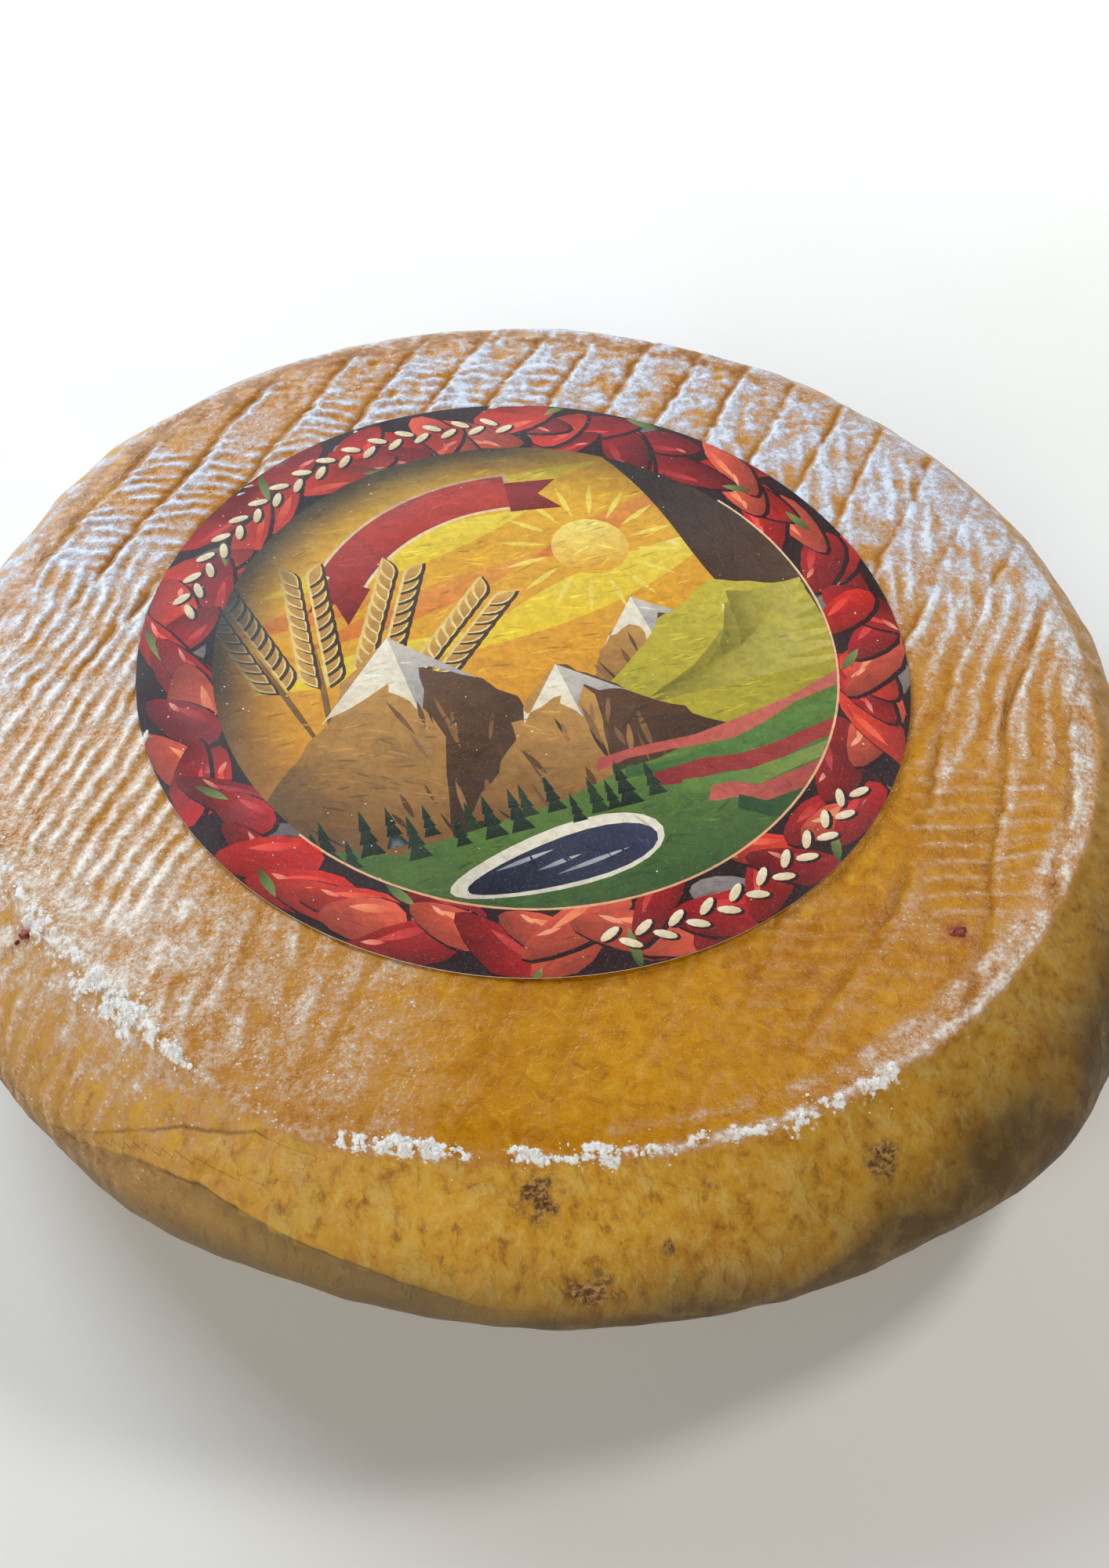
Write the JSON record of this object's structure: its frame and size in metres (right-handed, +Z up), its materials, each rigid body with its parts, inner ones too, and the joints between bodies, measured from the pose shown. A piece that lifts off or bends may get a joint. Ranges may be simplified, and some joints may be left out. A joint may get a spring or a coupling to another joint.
{
  "type": "raclette cheese wheel",
  "caption": "Whole washed-rind raclette cheese wheel, low and round with bulging sides, slat and cloth prints in the rind, and a round printed paper label on top.",
  "frame": {"origin": "on the surface that the wheel rests on, under the middle of its box", "axes": "+Z up through the label, -Y towards the picture's viewer, +X to the viewer's right"},
  "size_m": [0.3286, 0.3316, 0.0705],
  "materials": {
    "rind": "damp washed cheese rind, amber to olive brown, soft gloss with a pale bloom",
    "label": "printed coated paper, crimson ring round a golden field, soft gloss"
  },
  "bodies": {
    "root": {"wheel": "rind", "label": "label"}
  },
  "joints": []
}
